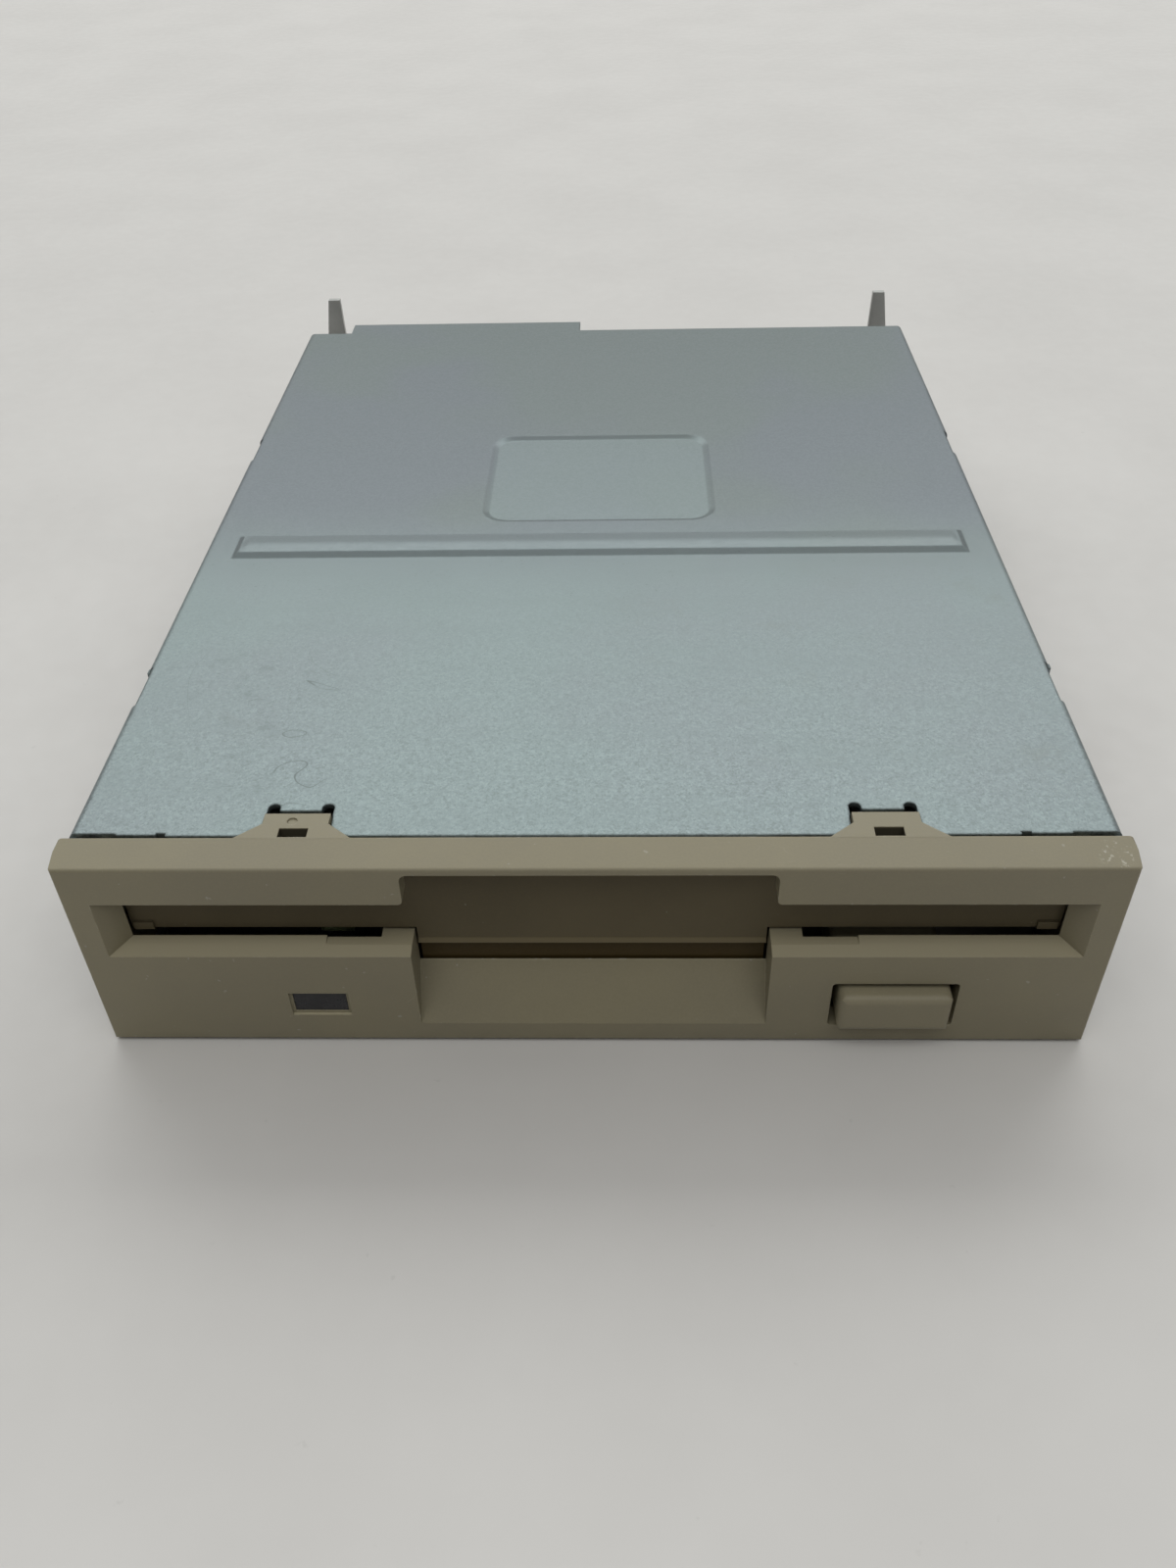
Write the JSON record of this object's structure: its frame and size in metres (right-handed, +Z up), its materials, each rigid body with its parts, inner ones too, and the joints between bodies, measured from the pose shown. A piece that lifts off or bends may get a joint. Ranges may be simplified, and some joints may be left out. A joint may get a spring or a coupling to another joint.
{
  "type": "floppy disk drive",
  "caption": "Internal 3.5-inch floppy disk drive with a beige bezel, hinged dust door, eject button, loading tray, spindle motor and stepper-driven heads under a sheet steel cover.",
  "frame": {"origin": "under the middle of the drive, at the height of the bezel's foot", "axes": "+X to the right seen from the bezel, +Y from the bezel into the drive, +Z up"},
  "size_m": [0.1016, 0.1484, 0.0254],
  "materials": {
    "bezel_plastic": "fine moulded grain, slightly aged",
    "door_plastic": "fine moulded grain",
    "smoked_plastic": "smoked, polished",
    "clear_plastic": "diffused",
    "galvanised_sheet": "galvanised, fine grain",
    "plated_sheet": "zinc plated",
    "bright_steel": "ground",
    "spring_steel": "bright wire",
    "circuit_board": "solder mask",
    "black_plastic": "moulded",
    "white_plastic": "nylon",
    "bearing_bronze": "sintered",
    "stator_steel": "laminated",
    "copper_wire": "enamelled",
    "magnet": "bonded ferrite",
    "ceramic": "lapped",
    "die_cast": "as cast",
    "contact_metal": "gold flash",
    "tinned_metal": "tinned"
  },
  "bodies": {
    "frame": {"chassis": "plated_sheet", "top_cover": "galvanised_sheet", "front_bezel": "bezel_plastic", "led_lens": "smoked_plastic", "door_spring": "spring_steel", "eject_springs": "spring_steel", "guide_studs": "bright_steel", "lever_post": "bright_steel", "lever_clip": "spring_steel", "lever_spring": "spring_steel", "switch_board": "circuit_board", "led_holder": "black_plastic", "activity_led": "clear_plastic", "protect_switch": "black_plastic", "density_switch": "black_plastic", "disk_switch": "black_plastic", "motor_board": "circuit_board", "motor_screws": "bright_steel", "spindle_bearing": "bearing_bronze", "stator_core": "stator_steel", "stator_coils": "copper_wire", "guide_rod_main": "bright_steel", "guide_rod_side": "bright_steel", "rod_clamps": "die_cast", "stepper_motor": "plated_sheet", "stepper_bracket": "plated_sheet", "stepper_screws": "bright_steel", "track_sensor": "black_plastic", "control_board": "circuit_board", "control_chips": "black_plastic", "board_screws": "bright_steel", "data_connector": "black_plastic", "data_pins": "contact_metal", "power_connector": "white_plastic", "power_pins": "tinned_metal"},
    "ejector": {"eject_plate": "plated_sheet", "eject_button": "bezel_plastic"},
    "tray": {"holder_tray": "plated_sheet", "holder_pins": "bright_steel"},
    "lever": {"shutter_lever": "plated_sheet"},
    "door": {"dust_door": "door_plastic"},
    "spindle": {"rotor_cup": "plated_sheet", "ring_magnet": "magnet", "spindle_shaft": "bright_steel", "hub_table": "bright_steel", "drive_pin": "bright_steel"},
    "carriage": {"head_carriage": "black_plastic", "carriage_bushes": "bearing_bronze", "screw_needle": "bright_steel", "lower_head": "ceramic", "arm_pin": "bright_steel", "load_spring": "spring_steel"},
    "arm": {"upper_arm": "black_plastic", "upper_head": "ceramic"},
    "screw": {"lead_screw": "bright_steel"},
    "protect_button": {"protect_plunger": "white_plastic"},
    "density_button": {"density_plunger": "white_plastic"},
    "disk_button": {"disk_plunger": "white_plastic"}
  },
  "joints": [
    {"name": "eject_slide", "type": "slide", "parent": "frame", "child": "ejector", "axis": [0, -1, 0], "range_m": [0, 0.006], "deforming": ["eject_springs"]},
    {"name": "tray_drop", "type": "slide", "parent": "frame", "child": "tray", "axis": [0, 0, -1], "range_m": [0, 0.003]},
    {"name": "lever_turn", "type": "hinge", "parent": "frame", "child": "lever", "pos_m": [0.0406, 0.03675, 0.0202], "axis": [0, 0, -1], "range_deg": [0, 35], "deforming": ["lever_spring"]},
    {"name": "door_swing", "type": "hinge", "parent": "frame", "child": "door", "pos_m": [0, -0.06865, 0.0225], "axis": [1, 0, 0], "range_deg": [0, 85], "stiffness_Nm_per_rad": 0.002, "deforming": ["door_spring"]},
    {"name": "spindle_turn", "type": "hinge", "parent": "frame", "child": "spindle", "pos_m": [0, -0.02275, 0.008], "axis": [0, 0, 1], "continuous": true},
    {"name": "carriage_slide", "type": "slide", "parent": "frame", "child": "carriage", "axis": [0, -1, 0], "range_m": [0, 0.0148]},
    {"name": "arm_lower", "type": "hinge", "parent": "carriage", "child": "arm", "pos_m": [0, 0.04275, 0.01555], "axis": [1, 0, 0], "range_deg": [0, 11.5], "deforming": ["load_spring"]},
    {"name": "screw_turn", "type": "hinge", "parent": "frame", "child": "screw", "pos_m": [0.011, 0.02725, 0.0093], "axis": [0, 1, 0], "range_deg": [0, 1776]},
    {"name": "protect_press", "type": "slide", "parent": "frame", "child": "protect_button", "axis": [0, 0, -1], "range_m": [0, 0.001], "stiffness_N_per_m": 60},
    {"name": "density_press", "type": "slide", "parent": "frame", "child": "density_button", "axis": [0, 0, -1], "range_m": [0, 0.001], "stiffness_N_per_m": 60},
    {"name": "disk_press", "type": "slide", "parent": "frame", "child": "disk_button", "axis": [0, 0, -1], "range_m": [0, 0.001], "stiffness_N_per_m": 60}
  ],
  "couplings": [
    {"joint": "tray_drop", "follows": "eject_slide", "ratio": 0.5},
    {"joint": "lever_turn", "follows": "eject_slide", "rad_per_m": 101.81},
    {"joint": "arm_lower", "follows": "eject_slide", "rad_per_m": 33.452},
    {"joint": "screw_turn", "follows": "carriage_slide", "rad_per_m": 2094.4}
  ]
}
